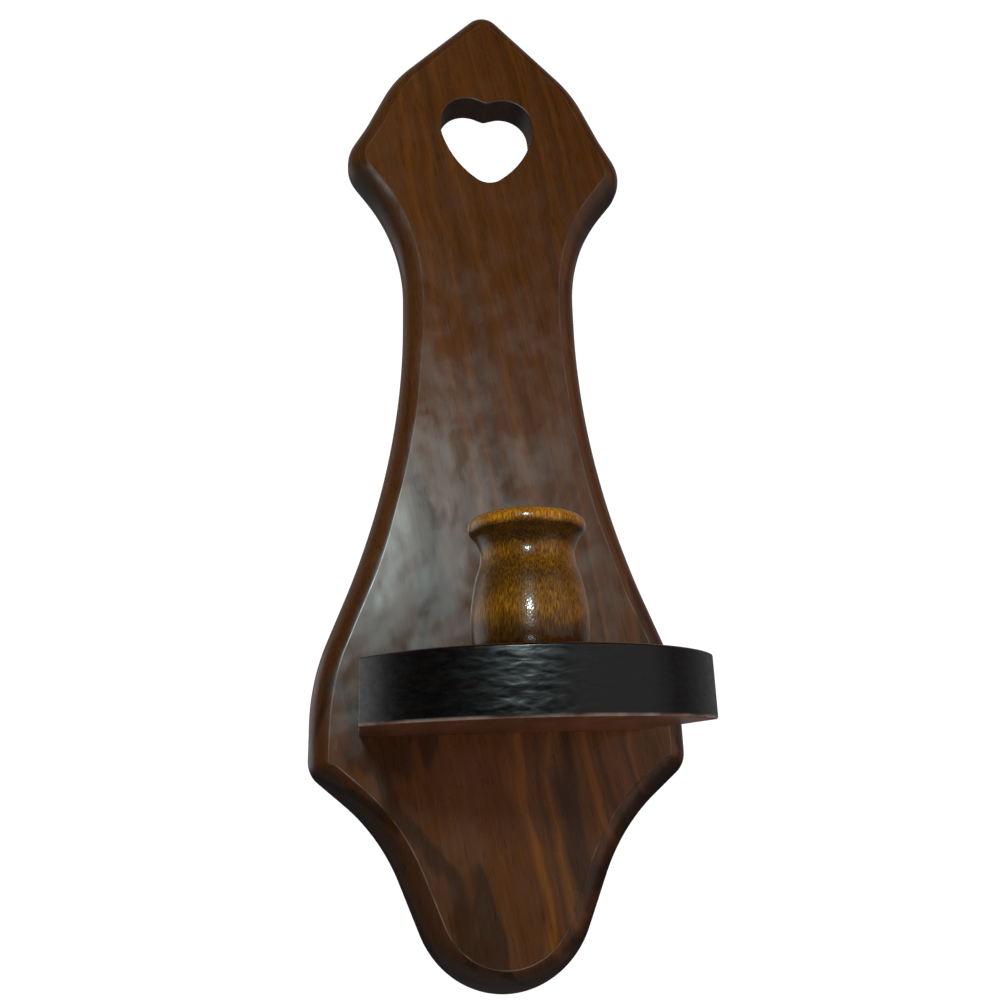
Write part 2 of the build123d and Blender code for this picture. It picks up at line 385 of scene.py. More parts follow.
def ring_colour(tree, along, low_down, wood):
    """Dark, middle and warm rings, strongest low down."""
    squeezed = add(
        tree, "ShaderNodeMapping", None, Vector=along, Scale=(1, 1, WANDER_SQUEEZE),
    ).outputs[0]
    wander = add(
        tree, "ShaderNodeTexNoise", None, Vector=squeezed,
        Scale=1 / WANDER_SPACING, Detail=3.0, Roughness=0.55,
    ).outputs["Color"]
    centred = add(
        tree, "ShaderNodeVectorMath", {"operation": "SUBTRACT"}, i0=wander, i1=(0.5, 0.5, 0.5),
    ).outputs[0]
    shift = add(
        tree, "ShaderNodeVectorMath", {"operation": "SCALE"}, i0=centred, Scale=WANDER_DEPTH,
    ).outputs[0]
    moved = add(tree, "ShaderNodeVectorMath", {"operation": "ADD"}, i0=along, i1=shift).outputs[0]
    flat = add(
        tree, "ShaderNodeVectorMath", {"operation": "MULTIPLY"}, i0=moved, i1=(1, 1, TRUNK_SQUEEZE),
    ).outputs[0]
    distance = add(tree, "ShaderNodeVectorMath", {"operation": "LENGTH"}, i0=flat).outputs["Value"]
    rings_passed = add(
        tree, "ShaderNodeMath", {"operation": "MULTIPLY"}, i0=distance, i1=1 / wood["ring"],
    ).outputs[0]
    rings = add(
        tree, "ShaderNodeTexNoise", {"noise_dimensions": "1D"}, W=rings_passed,
        Scale=1.0, Detail=2.5, Roughness=0.6,
    ).outputs["Fac"]
    figured = add(
        tree, "ShaderNodeValToRGB",
        {"stops": [(0.30, wood["dark"]), (0.52, wood["middle"]), (0.72, wood["warm"])]}, Fac=rings,
    )
    figured.color_ramp.interpolation = "EASE"
    contrast = add(
        tree, "ShaderNodeMath", {"operation": "MULTIPLY"}, i0=low_down, i1=FIGURE_CONTRAST,
    ).outputs[0]
    return add(
        tree, "ShaderNodeMix", MIXED,
        Factor=contrast, i6=linear(wood["middle"]), i7=figured.outputs["Color"],
    ).outputs[2]


print("the rings wander by up to", WANDER_DEPTH / MM / 2, "mm")

# %% [markdown]
# ### Painted light and shade
#
# The board's colour is painted paler half way down and darker at the foot, as painted light and
# shade, and painted darker and less blue at the upper right, as painted shade where the sheen
# fades. A ramp over the height and a tint that grows to the right are enough.

# %% Painted light and shade over the height and to the right
PAINTED_SHADING_HEIGHTS = (-0.30, 0.12)        # foot and tip, in metres
RIGHT_SHADE_FROM_TO = (-0.045, 0.045)
UPPER_SHADE_FROM_TO = (-0.20, -0.05)


def with_painted_shading(tree, colour, spot, wood):
    """The colour times painted light and shade by height, and painted shade at the upper right."""
    height_share = add(
        tree, "ShaderNodeMapRange", None, Value=spot["Z"],
        From_Min=PAINTED_SHADING_HEIGHTS[0], From_Max=PAINTED_SHADING_HEIGHTS[1],
    ).outputs[0]
    painted_shading_by_height = add(
        tree, "ShaderNodeValToRGB", {"stops": wood["painted_shading_by_height"]}, Fac=height_share,
    ).outputs["Color"]
    colour = add(
        tree, "ShaderNodeMix", MULTIPLIED, Factor=1.0, i6=colour, i7=painted_shading_by_height,
    ).outputs[2]
    rightness = add(
        tree, "ShaderNodeMapRange", None, Value=spot["X"],
        From_Min=RIGHT_SHADE_FROM_TO[0], From_Max=RIGHT_SHADE_FROM_TO[1],
    ).outputs[0]
    upper = add(
        tree, "ShaderNodeMapRange", None, Value=spot["Z"],
        From_Min=UPPER_SHADE_FROM_TO[0], From_Max=UPPER_SHADE_FROM_TO[1],
    ).outputs[0]
    upper_right = add(
        tree, "ShaderNodeMath", {"operation": "MULTIPLY"}, i0=rightness, i1=upper,
    ).outputs[0]
    return add(
        tree, "ShaderNodeMix", MULTIPLIED,
        Factor=upper_right, i6=colour, i7=linear(wood["upper_right_painted_shade"]),
    ).outputs[2]


print("tone runs over", round((PAINTED_SHADING_HEIGHTS[1] - PAINTED_SHADING_HEIGHTS[0]) / MM), "mm")

# %% [markdown]
# ### Fibres and pores
#
# Up close, walnut is made of fine fibres, with short dark pores between them. Both are noise that
# is squeezed hard along the grain. The same noise later roughens the surface.

# %% Fibres and pores
FIBRE_SPACING = 0.9 * MM        # about 0.5 mm on the real board, drawn coarser so that they show
FIBRE_SQUEEZE = 0.03
FIBRE_SHARE = 0.55
PORE_SPACING = 0.55 * MM        # gives dark dashes about 0.3 mm wide and 5 mm long
PORE_SQUEEZE = 0.07
PORE_SHARE = 0.45
PORE_COLOUR = "1d100a"


def fibres_and_pores(tree, colour, along):
    """The colour with fibres and pores in it, and the two patterns for the relief."""
    fibre_place = add(
        tree, "ShaderNodeMapping", None, Vector=along, Scale=(1, 1, FIBRE_SQUEEZE),
    ).outputs[0]
    fibres = add(
        tree, "ShaderNodeTexNoise", None, Vector=fibre_place,
        Scale=1 / FIBRE_SPACING, Detail=3.0, Roughness=0.65,
    ).outputs["Fac"]
    fibre_tone = add(
        tree, "ShaderNodeValToRGB", {"stops": [(0.30, 0.62), (0.70, 1.25)]}, Fac=fibres,
    ).outputs["Color"]
    colour = add(
        tree, "ShaderNodeMix", MULTIPLIED, Factor=FIBRE_SHARE, i6=colour, i7=fibre_tone,
    ).outputs[2]

    pore_place = add(
        tree, "ShaderNodeMapping", None, Vector=along, Scale=(1, 1, PORE_SQUEEZE),
    ).outputs[0]
    pore_noise = add(
        tree, "ShaderNodeTexNoise", None, Vector=pore_place, Scale=1 / PORE_SPACING, Detail=1.0,
    ).outputs["Fac"]
    pores = add(
        tree, "ShaderNodeValToRGB", {"stops": [(0.30, 1.0), (0.37, 0.0)]}, Fac=pore_noise,
    ).outputs["Color"]
    pore_share = add(
        tree, "ShaderNodeMath", {"operation": "MULTIPLY"}, i0=pores, i1=PORE_SHARE,
    ).outputs[0]
    colour = add(
        tree, "ShaderNodeMix", MIXED, Factor=pore_share, i6=colour, i7=linear(PORE_COLOUR),
    ).outputs[2]
    return colour, fibres, pores


print("fibres every", FIBRE_SPACING / MM, "mm, pores every", PORE_SPACING / MM, "mm")

# %% [markdown]
# ### Stain and painted shade
#
# End grain soaks up more stain than a face does. Which way a face looks tells the two apart, so
# the normal decides: a ramp from down to up darkens the ends, and the sides can be lifted again.
# The same ramp paints shade and light as well: faces that look down, such as the lower edges of
# the board, the upper wall of the heart and the underside of the shelf, are painted darker, and on
# the board faces that look up are painted a little lighter. The rounded edge is a little redder and
# darker than the face.

# %% Stain and painted shade that follow the way a face looks
SIDE_FROM_TO = (0.94, 0.98)     # how squarely a face must look left or right to count as a side
ROUTED_TINT = "e8d8cb"


def stained_and_shaded(tree, colour, looks, sideways, low_down, wood):
    """The colour after the stain and the painted shade."""
    stain_and_painted_shade = add(tree, "ShaderNodeValToRGB", {"stops": wood["stain_and_painted_shade"]}, Fac=looks).outputs["Color"]
    colour = add(
        tree, "ShaderNodeMix", MULTIPLIED, Factor=1.0, i6=colour, i7=stain_and_painted_shade,
    ).outputs[2]
    side_share = add(
        tree, "ShaderNodeMath", {"operation": "ABSOLUTE"}, i0=sideways,
    ).outputs[0]
    is_side = add(
        tree, "ShaderNodeValToRGB",
        {"stops": [(SIDE_FROM_TO[0], 0.0), (SIDE_FROM_TO[1], 1.0)]}, Fac=side_share,
    ).outputs["Color"]
    lift = wood["side_lift"]
    colour = add(
        tree, "ShaderNodeMix", MULTIPLIED, Factor=is_side, i6=colour, i7=(lift, lift, lift, 1.0),
    ).outputs[2]
    routed = add(tree, "ShaderNodeAttribute", {"attribute_name": "routed"}).outputs["Fac"]
    redder = add(
        tree, "ShaderNodeMath", {"operation": "MULTIPLY"}, i0=routed, i1=low_down,
    ).outputs[0]
    return add(
        tree, "ShaderNodeMix", MULTIPLIED, Factor=redder, i6=colour, i7=linear(ROUTED_TINT),
    ).outputs[2]


print("a face is a side from", round(math.degrees(math.acos(SIDE_FROM_TO[0]))), "degrees")

# %% [markdown]
# ### Wear and painted highlights
#
# Dusting and handling have worn crisp edges pale, in some places more than in others: the arris
# beside the routed edge of the board, and the lower front edge of the shelf. The pale grey line is
# partly wear and partly a painted highlight, strongest low down. The board carries its arris as a
# number on each point. The shelf's edge is found by its height.

# %% Worn edges with painted highlights
RIM_FROM_TO = (1.1 * MM, 0.6 * MM)      # above the lower edge
WEAR_AND_HIGHLIGHT_SPACING = 11 * MM
# pale grey of worn edges and of a painted highlight
WORN_AND_HIGHLIGHT_COLOUR = "7a6861"


def worn_and_highlighted(tree, colour, place, height, looks, low_down, wood):
    """The colour with its crisp edges worn pale and given a painted highlight."""
    near_rim = add(
        tree, "ShaderNodeMapRange", None, Value=height,
        From_Min=wood["worn_highlit_rim"] + RIM_FROM_TO[0], From_Max=wood["worn_highlit_rim"] + RIM_FROM_TO[1],
    ).outputs[0]
    not_below = add(
        tree, "ShaderNodeValToRGB", {"stops": [(0.04, 0.0), (0.12, 1.0)]}, Fac=looks,
    ).outputs["Color"]
    marked = add(tree, "ShaderNodeAttribute", {"attribute_name": "arris"}).outputs["Fac"]
    arris = add(
        tree, "ShaderNodeMath", {"operation": "MULTIPLY_ADD"}, i0=near_rim, i1=not_below, i2=marked,
    ).outputs[0]
    wear_and_highlight = add(
        tree, "ShaderNodeTexNoise", None, Vector=place, Scale=1 / WEAR_AND_HIGHLIGHT_SPACING, Detail=3.0,
    ).outputs["Fac"]
    in_places = add(
        tree, "ShaderNodeValToRGB", {"stops": [(0.38, 0.1), (0.62, 0.85)]}, Fac=wear_and_highlight,
    ).outputs["Color"]
    share = add(
        tree, "ShaderNodeMath", {"operation": "MULTIPLY"}, i0=arris, i1=in_places,
    ).outputs[0]
    share = add(tree, "ShaderNodeMath", {"operation": "MULTIPLY"}, i0=share, i1=low_down).outputs[0]
    return add(
        tree, "ShaderNodeMix", MIXED, Factor=share, i6=colour, i7=linear(WORN_AND_HIGHLIGHT_COLOUR),
    ).outputs[2]


print("places of wear every", WEAR_AND_HIGHLIGHT_SPACING / MM, "mm")

# %% [markdown]
# ### The gloss of the varnish
#
# The varnish is cloudy, clear in one place and dull in the next, which gives the sheen its patches.
# End grain and sawn walls soaked it up and stay matt.

# %% Cloudy gloss
SAWN_FROM_TO = (0.03, 0.2)      # how little a face looks forward or back to count as a sawn wall


def varnish_gloss(tree, cloud_place, looks, forward, wood):
    """Roughness of the varnish."""
    clear, cloudy, matt = wood["gloss"]
    patches = add(
        tree, "ShaderNodeTexNoise", None, Vector=cloud_place,
        Scale=1.7 / wood["ripple"][1], Detail=3.0, Roughness=0.5, Distortion=0.3,
    ).outputs["Fac"]
    patchy = add(
        tree, "ShaderNodeValToRGB", {"stops": [(0.35, clear), (0.65, cloudy)]}, Fac=patches,
    ).outputs["Color"]
    end_grain = add(
        tree, "ShaderNodeValToRGB", {"stops": [(0.22, 1.0), (0.42, 0.0)]}, Fac=looks,
    ).outputs["Color"]
    depth_share = add(tree, "ShaderNodeMath", {"operation": "ABSOLUTE"}, i0=forward).outputs[0]
    sawn = add(
        tree, "ShaderNodeValToRGB",
        {"stops": [(SAWN_FROM_TO[0], 1.0), (SAWN_FROM_TO[1], 0.0)]}, Fac=depth_share,
    ).outputs["Color"]
    thirsty = add(
        tree, "ShaderNodeMath", {"operation": "MAXIMUM"}, i0=end_grain, i1=sawn,
    ).outputs[0]
    return add(
        tree, "ShaderNodeMix", {"data_type": "FLOAT"}, i0=thirsty, i2=patchy, i3=matt,
    ).outputs[0]


print("roughness of the board and the shelf:", BOARD_WOOD["gloss"], SHELF_WOOD["gloss"])

# %% [markdown]
# ### The relief of the varnish
#
# Four layers of bump lie on each other, from the largest to the smallest. The board has bowed a
# little, so its lower part looks slightly up and catches the pale wall. The varnish lies in low
# ripples. Fibres groove it, and pores pit it. The bow stays in the shading, because the real board
# is flat on the wall and its measured shape must not move.

# %% Bow, ripples, fibres and pores
BOW_HEIGHTS = (-0.10, -0.30)
GROOVE_DEPTH = 0.006 * MM
PIT_DEPTH = 0.01 * MM
PIT_SHARE = 0.15


def varnish_relief(tree, cloud_place, height, fibres, pores, wood):
    """The bumped normal of the varnish."""
    ripple_height, ripple_depth = wood["ripple"][1], wood["ripple"][3]
    ripples = add(
        tree, "ShaderNodeTexNoise", None, Vector=cloud_place,
        Scale=1 / ripple_height, Detail=1.5, Roughness=0.45, Distortion=0.2,
    ).outputs["Fac"]
    raised = add(
        tree, "ShaderNodeMapRange", SMOOTHLY, Value=height,
        From_Min=BOW_HEIGHTS[0], From_Max=BOW_HEIGHTS[1],
    ).outputs[0]
    bowed = add(
        tree, "ShaderNodeBump", None, Height=raised, Strength=1.0, Distance=wood["bow"],
    ).outputs[0]
    wavy = add(
        tree, "ShaderNodeBump", None, Height=ripples, Strength=1.0, Distance=ripple_depth,
        Normal=bowed,
    ).outputs[0]
    grooved = add(
        tree, "ShaderNodeBump", None, Height=fibres, Strength=1.0, Distance=GROOVE_DEPTH,
        Normal=wavy,
    ).outputs[0]
    return add(
        tree, "ShaderNodeBump", {"invert": True}, Height=pores, Strength=PIT_SHARE,
        Distance=PIT_DEPTH, Normal=grooved,
    ).outputs[0]


print("bow of the board in mm:", BOARD_WOOD["bow"] / MM)

# %% [markdown]
# ### The walnut finish
#
# The parts are now put together in the order in which they would happen to the wood, with painted
# light and shade laid in: rings, painted light and shade over the height, fibres, stain with
# painted shade, wear with a painted highlight, and varnish. The fibres under the varnish spread its
# gloss sideways, so the highlight is wider across the grain than along it. That needs a direction,
# which is found from the upright and the normal, with a tiny addition so that it is never nothing.

# %% The walnut material
FIGURE_FADES = (-0.22, -0.05)       # heights in metres between which the figure fades
FIGURE_ABOVE = 0.35                 # share of it that is left above


def walnut(name, wood):
    """Flat sawn walnut, stained and varnished, with painted light and shade."""
    material, tree = fresh_material(name)
    place = add(tree, "ShaderNodeTexCoord").outputs["Object"]
    spot = add(tree, "ShaderNodeSeparateXYZ", None, Vector=place).outputs
    normal = add(tree, "ShaderNodeNewGeometry").outputs["Normal"]
    facing = add(tree, "ShaderNodeSeparateXYZ", None, Vector=normal).outputs
    axis, lean, ripple = wood["tree_axis"], wood["lean"], wood["ripple"]
    along = add(
        tree, "ShaderNodeMapping", {"vector_type": "TEXTURE"}, Vector=place,
        Location=(axis[0], axis[1], 0), Rotation=(lean[0], lean[1], 0),
    ).outputs[0]
    low_down = add(
        tree, "ShaderNodeMapRange", None, Value=spot["Z"],
        From_Min=FIGURE_FADES[0], From_Max=FIGURE_FADES[1], To_Min=1.0, To_Max=FIGURE_ABOVE,
    ).outputs[0]
    looks = add(
        tree, "ShaderNodeMapRange", None, Value=facing["Z"], From_Min=-1.0, From_Max=1.0,
    ).outputs[0]
    cloud_place = add(
        tree, "ShaderNodeMapping", None, Vector=place, Rotation=(0.0, ripple[2], 0.0),
        Scale=(ripple[1] / ripple[0], ripple[1] / ripple[0], 1.0),
    ).outputs[0]

    colour = ring_colour(tree, along, low_down, wood)
    colour = with_painted_shading(tree, colour, spot, wood)
    colour, fibres, pores = fibres_and_pores(tree, colour, along)
    colour = stained_and_shaded(tree, colour, looks, facing["X"], low_down, wood)
    colour = worn_and_highlighted(tree, colour, place, spot["Z"], looks, low_down, wood)
    gloss = varnish_gloss(tree, cloud_place, looks, facing["Y"], wood)
    relief = varnish_relief(tree, cloud_place, spot["Z"], fibres, pores, wood)

    across = add(
        tree, "ShaderNodeVectorMath", {"operation": "CROSS_PRODUCT"},
        i0=(0.0, 0.0, 1.0), i1=normal,
    ).outputs[0]
    tangent = add(
        tree, "ShaderNodeVectorMath", {"operation": "ADD"}, i0=across, i1=(0.001, 0.0, 0.0),
    ).outputs[0]
    shader = add(
        tree, "ShaderNodeBsdfPrincipled", None, Base_Color=colour, Roughness=gloss,
        Normal=relief, IOR=1.5, Anisotropic=0.5, Tangent=tangent,
    )
    add(tree, "ShaderNodeOutputMaterial", None, Surface=shader.outputs[0])
    return material


board_finish = walnut("stained_walnut_board", BOARD_WOOD)
shelf_finish = walnut("stained_walnut_shelf", SHELF_WOOD)
print("walnut made:", board_finish.name, shelf_finish.name)

# %% [markdown]
# ## The board's edge
#
# The board was sawn to shape and its front edge was then rounded with a router. The measured board
# has the right outline and holes, but its edge is too even for hand work. On the real one the bit
# cut a little deeper round the foot and left a small step there, and higher up the face was sanded
# until the step was gone. So the outline is drawn again from its corners, and the section of the
# edge is swept round it point by point, a little deeper in one place than in another.

# %% The outline of the board, in millimetres
BOARD_CORNERS = [           # half width, height above the nail, radius
    (0.0, 115.5, 9.9),      # tip
    (41.6, 72.8, 56.0),     # brow
    (52.8, 47.7, 60.0),     # dip above the ear
    (63.5, 28.0, 17.0),     # ear
    (36.2, -8.3, 80.0),     # neck, upper end
    (36.2, -106.9, 320.0),  # neck, lower end
    (69.6, -191.8, 80.0),   # hip, upper end
    (69.6, -224.5, 9.9),    # hip, lower end
    (43.8, -246.0, 70.0),   # undercut
    (0.0, -349.2, 32.6),    # foot
]
OUTLINE_SPACING = 1.4


def rounded_outline(corners, spacing):
    """Points along the closed outline, from the tip round to the right, each with the direction
    that points into the board. The list has the right half only, and the left half mirrors it."""
    around = [Vector((x, z)) for x, z, _ in corners]
    around += [Vector((-x, z)) for x, z, _ in corners[-2:0:-1]]
    radii = [r for _, _, r in corners] + [r for _, _, r in corners[-2:0:-1]]
    arcs = []
    for i, (corner, radius) in enumerate(zip(around, radii)):
        back = (around[i - 1] - corner).normalized()
        on = (around[(i + 1) % len(around)] - corner).normalized()
        half = back.angle(on) / 2
        start = corner + back * (radius / math.tan(half))
        end = corner + on * (radius / math.tan(half))
        centre = corner + (back + on).normalized() * (radius / math.sin(half))
        turn = back.y * on.x - back.x * on.y
        arcs.append((start, end, centre, radius, math.pi - 2 * half, 1 if turn < 0 else -1))
    samples = []
    for i, (start, end, centre, radius, sweep, bulge) in enumerate(arcs):
        steps = max(3, round(radius * sweep / spacing))
        for k in range(steps + 1):
            angle = -bulge * sweep * k / steps
            spoke = start - centre
            turned = Vector((
                spoke.x * math.cos(angle) - spoke.y * math.sin(angle),
                spoke.x * math.sin(angle) + spoke.y * math.cos(angle),
            ))
            samples.append((centre + turned, -bulge * turned.normalized()))
        following = arcs[(i + 1) % len(arcs)][0]
        run = following - end
        steps = round(run.length / spacing)
        for k in range(1, steps):
            samples.append((end + run * k / steps, samples[-1][1]))
    return samples


board_outline = rounded_outline(BOARD_CORNERS, OUTLINE_SPACING)
print("outline points:", len(board_outline))
print("outline width and height in mm:", [
    round(max(p[i] for p, _ in board_outline) - min(p[i] for p, _ in board_outline), 2)
    for i in (0, 1)
])

# %% [markdown]
# ### The section of the edge
#
# From the back, the section goes up a short sawn wall, then round the curve that the bit cut, and
# over the step onto the face. Each point of it also says whether the bit cut there, and whether it
# is on the crisp arris, because the finish needs to know.

# %% The section of the edge, in millimetres
BOARD_THICKNESS = 12.7
BIT_RADIUS = 9.5
SANDED_PAST = -0.15                 # the face was sanded this far past the bit's curve
STEP_AT_FOOT = 0.35                 # and here the bit left a step of this height
STEP_FROM, STEP_TO = -222, -238     # heights between which the step appears
HAND_WANDER = 0.10
WANDER_LENGTH = 23
ARC_STEPS = 14
LAST_ARC = 0.03                     # radians from the last ring to the one before it
STEEPEST_END = 86                   # degrees at which the curve ends at the latest
STEP_WIDTH = 0.12
ARRIS_WIDTH = 0.32


def step_height(point):
    """How far the curve of the bit ends below the face; negative where sanding has passed it."""
    share = min(1, max(0, (STEP_FROM - point.y) / (STEP_FROM - STEP_TO)))
    share = share * share * (3 - 2 * share)
    wander = noise.noise(Vector((point.x / WANDER_LENGTH, point.y / WANDER_LENGTH, 4.2)))
    return SANDED_PAST + share * (STEP_AT_FOOT - SANDED_PAST) + HAND_WANDER * wander


def edge_section(step):
    """(inset, distance from the wall, routed, arris) from the back of the board to its face."""
    centre = BOARD_THICKNESS - step - BIT_RADIUS
    rise = (BOARD_THICKNESS - 0.03 - centre) / BIT_RADIUS
    last = math.asin(min(math.sin(math.radians(STEEPEST_END)), rise))
    section = [(0.4, 0.0, 0, 0), (0.1, 0.1, 0, 0), (0.0, 0.4, 0, 0), (0.0, centre - 0.6, 0, 0)]
    angles = [last * k / ARC_STEPS for k in range(ARC_STEPS)] + [last - LAST_ARC, last]
    for angle in angles:
        inset = BIT_RADIUS * (1 - math.cos(angle))
        section.append((inset, centre + BIT_RADIUS * math.sin(angle), 1, int(angle == last)))
    inset, depth = section[-1][:2]
    section.append((inset + STEP_WIDTH, depth + 0.7 * (BOARD_THICKNESS - depth), 0.5, 1))
    section.append((inset + ARRIS_WIDTH, BOARD_THICKNESS, 0, 0))
    return section


print("rings in the edge:", len(edge_section(SANDED_PAST)))

# %% [markdown]
# ## Sewing the board together
#
# The walls of the heart, of the pocket for the hanger and of the screw holes come from a copy of
# the measured board, so that they fit exactly. The copy is merged, and its flat faces and its
# outer edge are cut away. A join of solids could do the same, but it would not keep the numbers on
# the points of the edge.

# %% Keep the measured walls
FLAT = 1e-6
OUTER_EDGE_FROM = 0.05      # metres from the middle: only the outer edge reaches this far


def on_plane(points, y):
    return all(abs(point.co.y - y) < FLAT for point in points)


def islands(mesh):
    """Groups of faces that hang together."""
    left = set(mesh.faces)
    while left:
        group = set()
        front = [left.pop()]
        while front:
            face = front.pop()
            group.add(face)
            for edge in face.edges:
                for other in edge.link_faces:
                    if other in left:
                        left.remove(other)
                        front.append(other)
        yield group


def measured_walls(cad_name, flat_planes):
    """The walls of the holes and the pocket, as a new mesh."""
    mesh = bmesh.new()
    mesh.from_mesh(nodes[cad_name].data)
    bmesh.ops.remove_doubles(mesh, verts=mesh.verts, dist=FLAT)
    flat = [f for f in mesh.faces if any(on_plane(f.verts, y) for y in flat_planes)]
    bmesh.ops.delete(mesh, geom=flat, context="FACES")
    for group in list(islands(mesh)):
        if max(v.co.x for f in group for v in f.verts) > OUTER_EDGE_FROM:
            bmesh.ops.delete(mesh, geom=list(group), context="FACES")
    bmesh.ops.delete(mesh, geom=[v for v in mesh.verts if not v.link_faces], context="VERTS")
    print("faces of the measured walls:", len(mesh.faces))
    return mesh


# %% [markdown]
# The new edge is put round those walls, as one column of points for each point of the outline.
# Then the two flat faces are filled in again, between the edge and the holes.

# %% Put the edge round them and fill the faces
def put_edge(mesh, outline):
    """Sweeps the section round the outline, with its two numbers on each point."""
    routed = mesh.verts.layers.float.new("routed")
    arris = mesh.verts.layers.float.new("arris")
    lowest = cad_box[0][2]
    columns = []
    for point, inward in outline:
        column = []
        for inset, depth, is_routed, is_arris in edge_section(step_height(point)):
            place = (point + inward * inset) * MM
            vert = mesh.verts.new((place.x, -depth * MM, max(place.y, lowest)))
            vert[routed] = is_routed
            vert[arris] = is_arris
            column.append(vert)
        columns.append(column)
    for column, following in zip(columns, columns[1:] + columns[:1]):
        for k in range(len(column) - 1):
            mesh.faces.new((column[k], column[k + 1], following[k + 1], following[k]))
    print("columns in the edge:", len(columns))


def fill_flats(mesh, flat_planes):
    """Closes the mesh at each plane, and turns its faces outwards."""
    for y in flat_planes:
        rim_edges = [e for e in mesh.edges if e.is_boundary and on_plane(e.verts, y)]
        bmesh.ops.triangle_fill(mesh, edges=rim_edges, use_beauty=True)
    bmesh.ops.recalc_face_normals(mesh, faces=mesh.faces)
    print("open edges:", sum(not e.is_manifold for e in mesh.edges),
          "volume in cm3:", round(mesh.calc_volume() * 1e6, 2))


# %% [markdown]
# Long thin triangles on a flat face show as smears when they are shaded smooth. So faces that lie
# in one plane are shaded flat, and the rest smooth, with a sharp line where two meet at an angle.

# %% Make the board
SHARP_ANGLE = 32


def make_board(cad_name, outline):
    """The board as its own piece, in place of the measured one."""
    flat_planes = (0.0, -BOARD_THICKNESS * MM)
    mesh = measured_walls(cad_name, flat_planes)
    put_edge(mesh, outline)
    fill_flats(mesh, flat_planes)
    data = bpy.data.meshes.new("walnut_board")
    mesh.to_mesh(data)
    mesh.free()
    data.set_sharp_from_angle(angle=math.radians(SHARP_ANGLE))
    for polygon in data.polygons:
        depths = [data.vertices[i].co.y for i in polygon.vertices]
        polygon.use_smooth = max(depths) - min(depths) > FLAT
    board = bpy.data.objects.new("walnut_board", data)
    bpy.context.scene.collection.objects.link(board)
    data.materials.append(board_finish)
    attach(board, "root")
    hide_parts(cad_name)
    print("board faces:", len(data.polygons))
    return board


walnut_board = make_board("backboard", board_outline)

# %% [markdown]
# ## Lacquered cup
#
# The cup is turned from a pale close-grained wood such as birch, toned amber and dipped in glossy
# lacquer. Its flecks are short and stand upright, because the grain runs up the cup. The toner lies
# thick on the shoulder and thin on the neck and the belly. The dark bands under the lip and at the
# foot, where the cup stands on the shelf, are painted shade, and the lip is painted lighter as a
# painted highlight. That follows the turning, so a ramp over the height gives it, with a little
# noise to break its rings.
# The lacquer has a fine orange peel, which breaks up the highlights.

# %% The cup's material
FLECK_SPACING = 0.32 * MM       # gives flecks about 0.3 mm wide and 2.5 mm tall
FLECK_SQUEEZE = 0.13
WOBBLE_SPACING = 9 * MM
WOBBLE_SHARE = 0.03             # of the cup's height
PEEL_SPACING = 0.6 * MM
PEEL_DEPTH = 0.05 * MM
AMBER = [(0.34, "482905"), (0.50, "784808"), (0.66, "a06c0f")]
# toner over the height, with painted shade under the lip and at the foot, and a painted highlight
# on the lip
TONER_AND_PAINTED_SHADE = [
    (0.05, "6b4a30"), (0.19, 0.45), (0.33, 1.15), (0.55, 0.50), (0.73, 0.92), (0.815, 0.25),
    (0.905, 0.22), (0.95, 1.6),
]


def lacquered_birch(name, foot_z, height):
    """Birch, toned and painted with light and shade along its height, and dipped in gloss lacquer.
    """
    material, tree = fresh_material(name)
    place = add(tree, "ShaderNodeTexCoord").outputs["Object"]
    fleck_place = add(
        tree, "ShaderNodeMapping", None, Vector=place, Scale=(1, 1, FLECK_SQUEEZE),
    ).outputs[0]
    flecks = add(
        tree, "ShaderNodeTexNoise", None, Vector=fleck_place,
        Scale=1 / FLECK_SPACING, Detail=3.0, Roughness=0.6,
    ).outputs["Fac"]
    amber = add(tree, "ShaderNodeValToRGB", {"stops": AMBER}, Fac=flecks).outputs["Color"]

    spot = add(tree, "ShaderNodeSeparateXYZ", None, Vector=place).outputs
    height_share = add(
        tree, "ShaderNodeMapRange", None, Value=spot["Z"],
        From_Min=foot_z, From_Max=foot_z + height,
    ).outputs[0]
    wobble = add(
        tree, "ShaderNodeTexNoise", None, Vector=place, Scale=1 / WOBBLE_SPACING, Detail=2.0,
    ).outputs["Fac"]
    wobbled = add(
        tree, "ShaderNodeMath", {"operation": "MULTIPLY_ADD"},
        i0=wobble, i1=WOBBLE_SHARE, i2=height_share,
    ).outputs[0]
    toner_and_shade = add(tree, "ShaderNodeValToRGB", {"stops": TONER_AND_PAINTED_SHADE}, Fac=wobbled).outputs["Color"]
    uneven = add(
        tree, "ShaderNodeValToRGB", {"stops": [(0.35, 0.75), (0.65, 1.3)]}, Fac=wobble,
    ).outputs["Color"]
    toner_and_shade = add(tree, "ShaderNodeMix", MULTIPLIED, Factor=1.0, i6=toner_and_shade, i7=uneven).outputs[2]
    colour = add(tree, "ShaderNodeMix", MULTIPLIED, Factor=1.0, i6=amber, i7=toner_and_shade).outputs[2]

    peel = add(
        tree, "ShaderNodeTexNoise", None, Vector=place, Scale=1 / PEEL_SPACING, Detail=1.0,
    ).outputs["Fac"]
    skin = add(
        tree, "ShaderNodeBump", None, Height=peel, Strength=0.8, Distance=PEEL_DEPTH,
    ).outputs[0]
    shader = add(
        tree, "ShaderNodeBsdfPrincipled", None, Base_Color=colour, Roughness=0.3,
        Normal=skin, IOR=1.3, Coat_Weight=0.45, Coat_Roughness=0.1, Coat_Normal=skin,
    )
    add(tree, "ShaderNodeOutputMaterial", None, Surface=shader.outputs[0])
    return material


cup_low, cup_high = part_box("candle_cup")
cup_finish = lacquered_birch("lacquered_birch_cup", cup_low.z, cup_high.z - cup_low.z)
print("cup made:", cup_finish.name, "height in mm:", round((cup_high.z - cup_low.z) / MM, 1))

